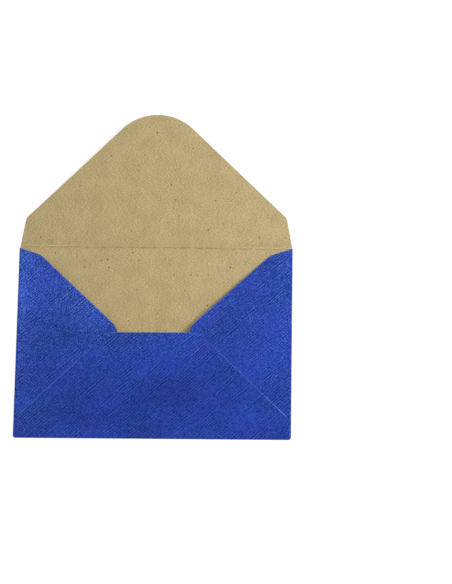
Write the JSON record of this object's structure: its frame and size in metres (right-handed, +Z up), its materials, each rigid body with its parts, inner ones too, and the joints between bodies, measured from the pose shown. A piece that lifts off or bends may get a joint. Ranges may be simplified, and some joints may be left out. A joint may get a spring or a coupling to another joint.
{
  "type": "paper envelope",
  "caption": "Paper envelope lying face down with its pointed flap open: two side flaps folded in under a glued bottom flap form the pocket.",
  "frame": {"origin": "centre of the front panel's outer face, which the envelope lies on", "axes": "+Y from the bottom fold towards the tip of the opened flap, +Z up through the sheet from the outer face, +X to the right seen from above with the flap pointing away"},
  "size_m": [0.162, 0.1935, 0.007],
  "materials": {
    "envelope_paper": "blue pearl outside embossed with fine slanting lines, plain brown kraft inside"
  },
  "bodies": {
    "root": {"envelope_sheet": "envelope_paper"}
  },
  "joints": []
}
